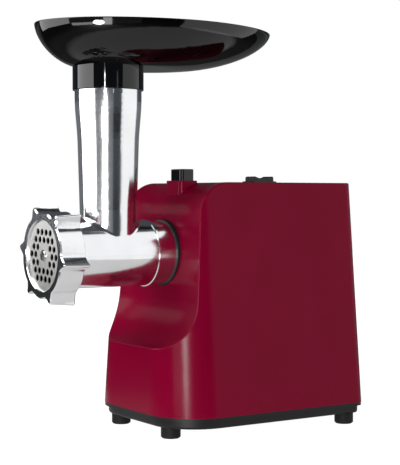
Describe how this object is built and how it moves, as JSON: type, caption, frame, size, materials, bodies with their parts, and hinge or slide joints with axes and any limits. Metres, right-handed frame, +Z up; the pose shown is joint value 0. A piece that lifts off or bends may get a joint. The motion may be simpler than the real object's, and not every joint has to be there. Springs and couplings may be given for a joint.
{
  "type": "electric meat grinder",
  "caption": "Electric meat grinder with a scooped red housing, polished cutting head with a 54 mm plate and ridged ring nut, boat-shaped black tray, rocker switch and head release button.",
  "frame": {"origin": "on the floor, below the middle of the whole machine's bounding box", "axes": "+Z up; the cutting head points along -Y and the back of the housing faces +Y; +X is to the right seen along +Y"},
  "size_m": [0.1302, 0.2387, 0.2898],
  "materials": {
    "red_plastic": "moulded, semi-gloss dark red",
    "grey_plastic": "moulded, fine satin texture, dark grey",
    "black_gloss": "moulded, high gloss black",
    "black_satin": "moulded, satin black",
    "black_nylon": "glass-filled nylon, black",
    "natural_nylon": "glass-filled nylon, natural",
    "black_rubber": "moulded, matt",
    "polished_aluminium": "cast and polished",
    "cast_aluminium": "cast, fettled and polished to a soft sheen",
    "plate_steel": "stainless, ground",
    "machined_steel": "turned and ground, oiled",
    "zinc_steel": "zinc plated",
    "lamination_steel": "stacked sheets, varnished",
    "sintered_bronze": "sintered, oiled",
    "copper": "enamelled wire and drawn bars",
    "carbon": "pressed carbon, matt"
  },
  "bodies": {
    "housing": {"housing": "red_plastic", "base_plate": "grey_plastic", "rubber_feet": "black_rubber", "base_screws": "zinc_steel", "cord_inlet": "black_rubber", "switch_bezel": "black_satin", "return_spring": "machined_steel", "head_socket": "black_nylon", "socket_screws": "zinc_steel", "gearbox_case": "natural_nylon", "gearbox_cover": "natural_nylon", "gearbox_screws": "zinc_steel", "gear_bushes": "sintered_bronze", "stator_stack": "lamination_steel", "field_coils": "copper", "motor_bearings": "machined_steel", "rear_bracket": "cast_aluminium", "motor_bolts": "zinc_steel", "brush_holders": "black_nylon", "carbon_brushes": "carbon", "motor_cradle": "black_nylon"},
    "rocker": {"switch_rocker": "black_satin"},
    "button": {"release_button": "black_gloss", "latch_frame": "black_nylon"},
    "rotor": {"rotor_shaft": "machined_steel", "rotor_core": "lamination_steel", "rotor_windings": "copper", "commutator": "copper", "cooling_fan": "black_nylon"},
    "first_stage": {"first_gear": "natural_nylon", "first_shaft": "machined_steel"},
    "second_stage": {"second_gear": "machined_steel", "second_shaft": "machined_steel"},
    "output": {"output_gear": "machined_steel", "output_shaft": "machined_steel"},
    "head": {"head_casting": "cast_aluminium", "mincing_plate": "plate_steel", "auger_bush": "natural_nylon"},
    "auger": {"auger": "cast_aluminium", "auger_pin": "machined_steel", "knife": "plate_steel"},
    "ring_nut": {"ring_nut": "polished_aluminium"},
    "tray": {"tray": "black_gloss"}
  },
  "joints": [
    {"name": "rocker_tilt", "type": "hinge", "parent": "housing", "child": "rocker", "pos_m": [0, 0.0665, 0.178], "axis": [1, 0, 0], "range_deg": [-8, 8]},
    {"name": "button_press", "type": "slide", "parent": "housing", "child": "button", "axis": [0, 0, -1], "range_m": [0, 0.005], "stiffness_N_per_m": 400, "springref_m": -0.005, "deforming": ["return_spring"]},
    {"name": "rotor_spin", "type": "hinge", "parent": "housing", "child": "rotor", "pos_m": [0, 0.0672, 0.066], "axis": [0, 1, 0], "continuous": true},
    {"name": "first_stage_spin", "type": "hinge", "parent": "housing", "child": "first_stage", "pos_m": [-0.02206, 0.0222, 0.08451], "axis": [0, 1, 0], "continuous": true},
    {"name": "second_stage_spin", "type": "hinge", "parent": "housing", "child": "second_stage", "pos_m": [0.00733, 0.0172, 0.09438], "axis": [0, 1, 0], "continuous": true},
    {"name": "output_spin", "type": "hinge", "parent": "housing", "child": "output", "pos_m": [0, 0.0072, 0.1286], "axis": [0, 1, 0], "continuous": true},
    {"name": "head_pull", "type": "slide", "parent": "housing", "child": "head", "axis": [0, -1, 0], "range_m": [0, 0.06]},
    {"name": "auger_spin", "type": "hinge", "parent": "head", "child": "auger", "pos_m": [0, -0.0678, 0.1286], "axis": [0, 1, 0], "continuous": true},
    {"name": "ring_nut_turn", "type": "hinge", "parent": "head", "child": "ring_nut", "pos_m": [0, -0.1078, 0.1286], "axis": [0, 1, 0], "continuous": true},
    {"name": "tray_lift", "type": "slide", "parent": "head", "child": "tray", "axis": [0, 0, 1], "range_m": [0, 0.05]}
  ],
  "couplings": [
    {"joint": "first_stage_spin", "follows": "rotor_spin", "ratio": -0.16129},
    {"joint": "second_stage_spin", "follows": "rotor_spin", "ratio": 0.03871},
    {"joint": "output_spin", "follows": "rotor_spin", "ratio": -0.010557},
    {"joint": "auger_spin", "follows": "rotor_spin", "ratio": -0.010557}
  ]
}
